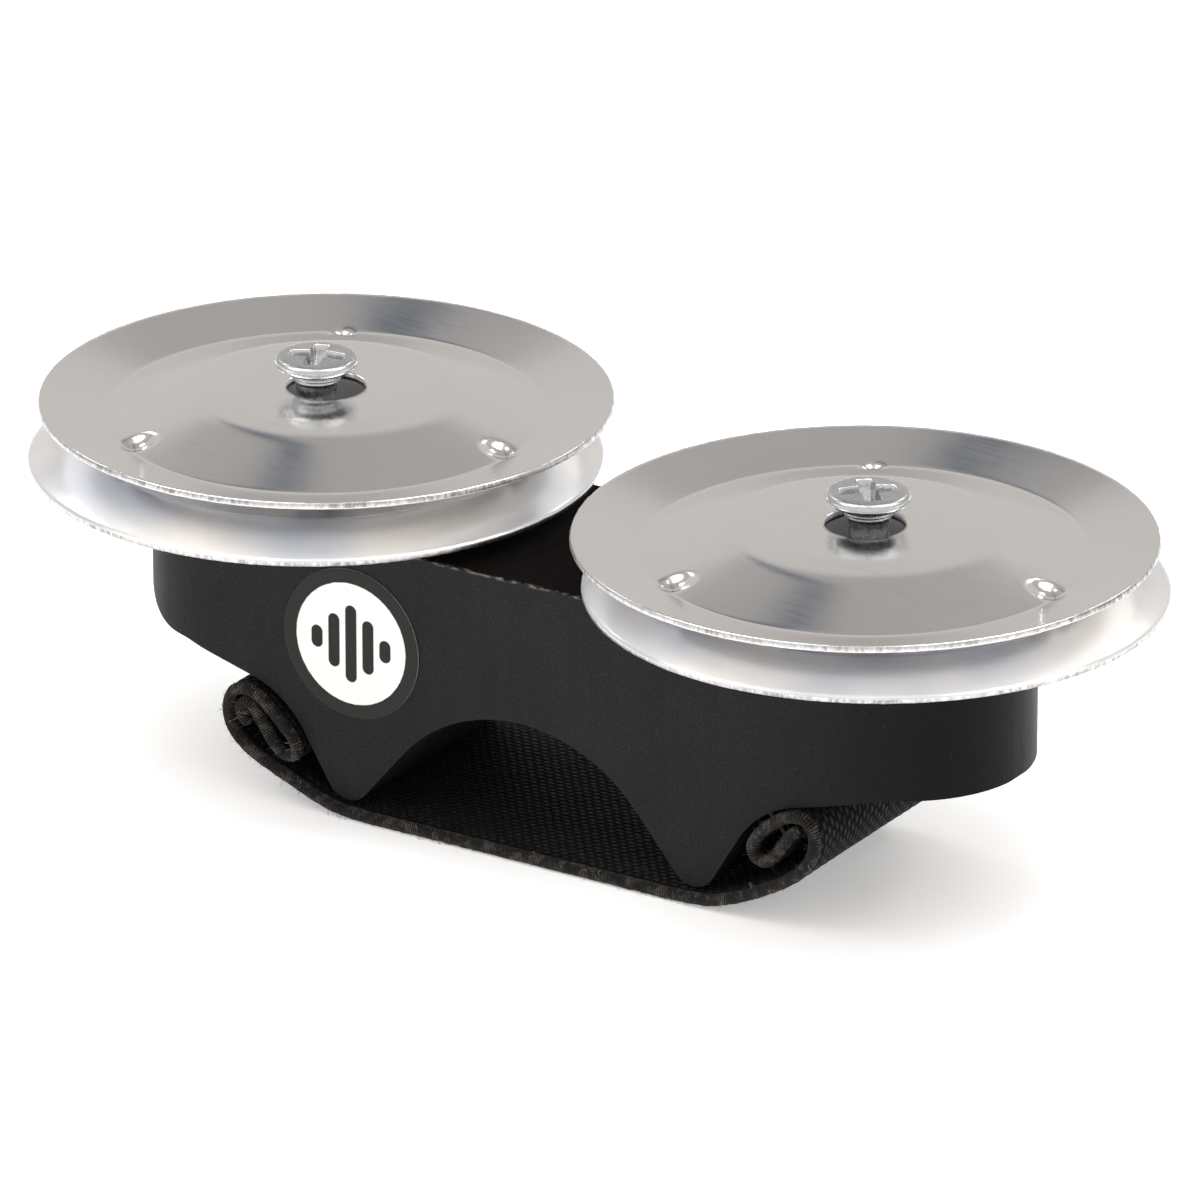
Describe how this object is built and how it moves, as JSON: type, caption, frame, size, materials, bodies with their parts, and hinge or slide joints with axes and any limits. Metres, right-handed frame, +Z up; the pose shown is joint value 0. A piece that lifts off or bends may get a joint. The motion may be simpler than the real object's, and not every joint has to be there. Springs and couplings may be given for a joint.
{
  "type": "finger jingle set",
  "caption": "Wooden finger block with pairs of loose steel jingles on countersunk screws and a rolled elastic finger strap under its feet.",
  "frame": {"origin": "on the surface under the middle of the strap, at the bottom centre of the set", "axes": "+X along the block towards the right-hand jingles, -Y out of the front face with the label, +Z up through the jingles"},
  "size_m": [0.107, 0.0522, 0.0371],
  "materials": {
    "black_wood": "black satin lacquer on wood",
    "label": "printed vinyl, white disc in a black ring",
    "zinc_screw": "bright zinc plate",
    "jingle_steel": "rolled and pressed bright steel",
    "elastic": "woven black elastic webbing",
    "staple_wire": "galvanised wire"
  },
  "bodies": {
    "handle": {"body_block": "black_wood", "round_label": "label", "left_screw": "zinc_screw", "right_screw": "zinc_screw", "finger_strap": "elastic", "left_staples": "staple_wire", "right_staples": "staple_wire"},
    "left_lower": {"left_lower_jingle": "jingle_steel"},
    "left_upper": {"left_upper_jingle": "jingle_steel"},
    "right_lower": {"right_lower_jingle": "jingle_steel"},
    "right_upper": {"right_upper_jingle": "jingle_steel"}
  },
  "joints": [
    {"name": "left_lower_rattle", "type": "slide", "parent": "handle", "child": "left_lower", "axis": [0, 0, 1], "range_m": [-0.00055, 0.0005]},
    {"name": "left_upper_rattle", "type": "slide", "parent": "left_lower", "child": "left_upper", "axis": [0, 0, 1], "range_m": [-0.00005, 0.0005]},
    {"name": "right_lower_rattle", "type": "slide", "parent": "handle", "child": "right_lower", "axis": [0, 0, 1], "range_m": [-0.0002, 0.0003]},
    {"name": "right_upper_rattle", "type": "slide", "parent": "right_lower", "child": "right_upper", "axis": [0, 0, 1], "range_m": [-0.00005, 0.0003]}
  ]
}
